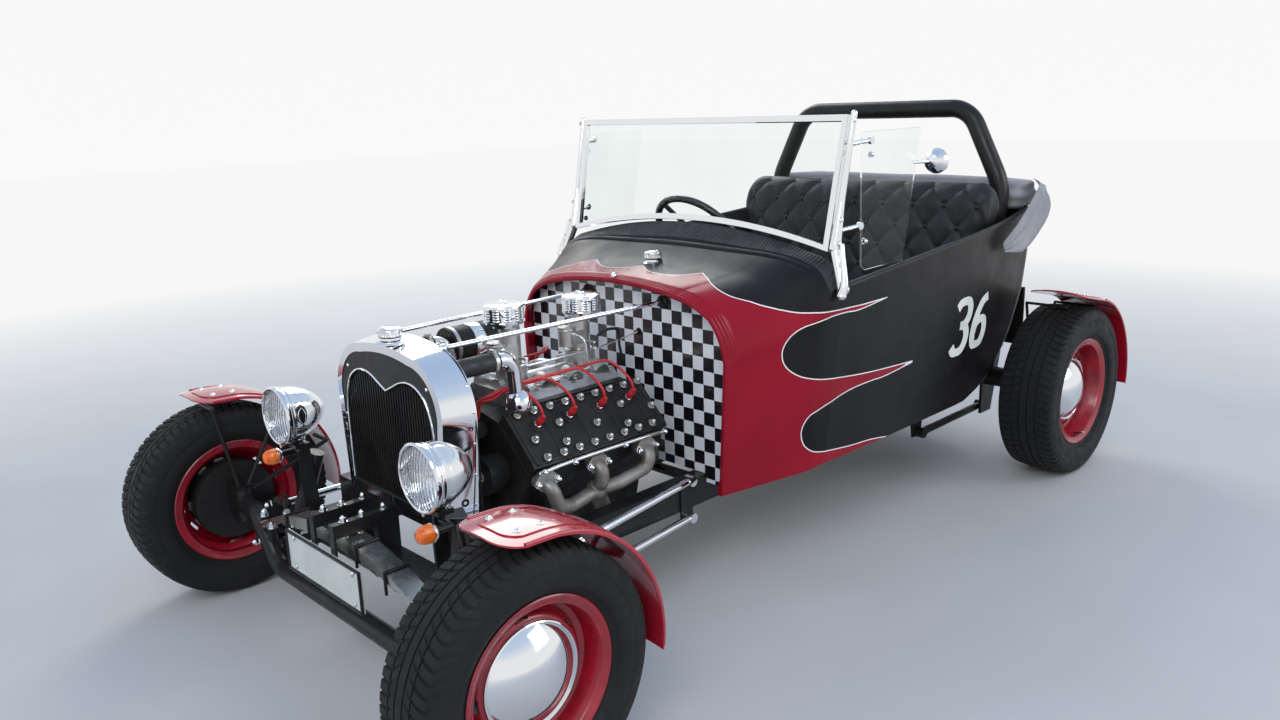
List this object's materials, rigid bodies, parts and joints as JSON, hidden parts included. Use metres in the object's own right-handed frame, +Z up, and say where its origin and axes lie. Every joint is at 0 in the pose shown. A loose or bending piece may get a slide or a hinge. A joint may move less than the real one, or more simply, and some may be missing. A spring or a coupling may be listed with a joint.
{
  "type": "street rod roadster",
  "caption": "Open two-seat street rod with an exposed vee engine, cycle fenders, upright radiator shell, folding-style screen, roll hoop and buttoned bench seat; wheels roll and steer.",
  "frame": {"origin": "on the ground, midway along and across the car", "axes": "+X the car's left, -Y forward, +Z up"},
  "size_m": [1.62, 3.1878, 1.366],
  "materials": {
    "tyre": "rubber, matt",
    "wheel_red": "gloss red steel rims, chrome caps",
    "fender_red": "gloss red",
    "chassis_black": "semi-gloss black",
    "spring_steel": "bright leaves",
    "chrome": "polished",
    "lens": "clear fluted glass, ribbed amber turn lamps",
    "ruby": "red lamp glass",
    "plate": "blank pale plate in a dark frame",
    "core_black": "black mesh",
    "engine_black": "satin black",
    "alloy": "cast",
    "header_steel": "grey heat-proof coat",
    "rubber": "hose rubber",
    "body_paint": "satin black with red front and white stripes",
    "checker": "black and white checks",
    "glass": "clear",
    "hoop_black": "satin black",
    "vinyl": "black buttoned vinyl",
    "canvas": "pale grey canvas",
    "wheel_rim_black": "black rim"
  },
  "bodies": {
    "chassis": {"front_axle": "chassis_black", "leaf_springs": "spring_steel", "radius_rods": "chrome", "rear_fenders": "fender_red", "rear_axle": "chassis_black", "rear_links": "chassis_black", "front_shocks": "chassis_black", "rails": "chassis_black", "crossmembers": "chassis_black", "lamp_stands": "chassis_black", "headlights": "chrome", "lamp_lenses": "lens", "number_plate": "plate", "tail_lamps": "ruby", "radiator_face": "chassis_black", "radiator_shell": "chrome", "radiator_core": "core_black", "filler_caps": "chrome", "support_rods": "chrome", "engine_block": "engine_black", "cylinder_heads": "engine_black", "intake_manifold": "alloy", "carburettors": "alloy", "air_cleaners": "chrome", "generator": "engine_black", "headers": "header_steel", "water_hoses": "rubber", "water_outlets": "chrome", "distributor": "engine_black", "gearbox": "alloy", "cowl": "body_paint", "firewall": "checker", "dashboard": "body_paint", "floor": "chassis_black", "body_tub": "body_paint", "windscreen_frame": "chrome", "windscreen_glass": "glass", "wind_wings": "glass", "roll_hoop": "hoop_black", "seat": "vinyl", "hood_boot": "canvas", "steering_column": "chrome", "mirror": "chrome"},
    "wheel_front_left": {"front_tyre_left": "tyre", "front_rim_left": "wheel_red"},
    "wheel_front_right": {"front_tyre_right": "tyre", "front_rim_right": "wheel_red"},
    "wheel_rear_left": {"rear_tyre_left": "tyre", "rear_rim_left": "wheel_red"},
    "wheel_rear_right": {"rear_tyre_right": "tyre", "rear_rim_right": "wheel_red"},
    "steer_left": {"knuckle_left": "chassis_black", "front_fender_left": "fender_red"},
    "steer_right": {"knuckle_right": "chassis_black", "front_fender_right": "fender_red"},
    "track_rod": {"tie_rod": "chrome"},
    "hand_wheel": {"steering_wheel": "wheel_rim_black"}
  },
  "joints": [
    {"name": "steering_left", "type": "hinge", "parent": "chassis", "child": "steer_left", "pos_m": [0.6, -1.311, 0.283], "axis": [0, 0, 1], "range_deg": [-25, 25]},
    {"name": "steering_right", "type": "hinge", "parent": "chassis", "child": "steer_right", "pos_m": [-0.6, -1.311, 0.283], "axis": [0, 0, 1], "range_deg": [-25, 25]},
    {"name": "track_rod_pivot", "type": "hinge", "parent": "steer_left", "child": "track_rod", "pos_m": [0.6, -1.176, 0.182], "axis": [0, 0, 1], "range_deg": [-25, 25]},
    {"name": "hand_wheel_turn", "type": "hinge", "parent": "chassis", "child": "hand_wheel", "pos_m": [-0.3, 0.349, 0.9], "axis": [0, 0.8211, 0.5708], "range_deg": [-200, 200]},
    {"name": "spin_front_left", "type": "hinge", "parent": "steer_left", "child": "wheel_front_left", "pos_m": [0.715, -1.311, 0.283], "axis": [1, 0, 0], "continuous": true},
    {"name": "spin_front_right", "type": "hinge", "parent": "steer_right", "child": "wheel_front_right", "pos_m": [-0.715, -1.311, 0.283], "axis": [1, 0, 0], "continuous": true},
    {"name": "spin_rear_left", "type": "hinge", "parent": "chassis", "child": "wheel_rear_left", "pos_m": [0.688, 1.244, 0.31], "axis": [1, 0, 0], "continuous": true},
    {"name": "spin_rear_right", "type": "hinge", "parent": "chassis", "child": "wheel_rear_right", "pos_m": [-0.688, 1.244, 0.31], "axis": [1, 0, 0], "continuous": true}
  ],
  "couplings": [
    {"joint": "steering_right", "follows": "steering_left", "ratio": 1},
    {"joint": "track_rod_pivot", "follows": "steering_left", "ratio": -1},
    {"joint": "hand_wheel_turn", "follows": "steering_left", "ratio": 8}
  ]
}
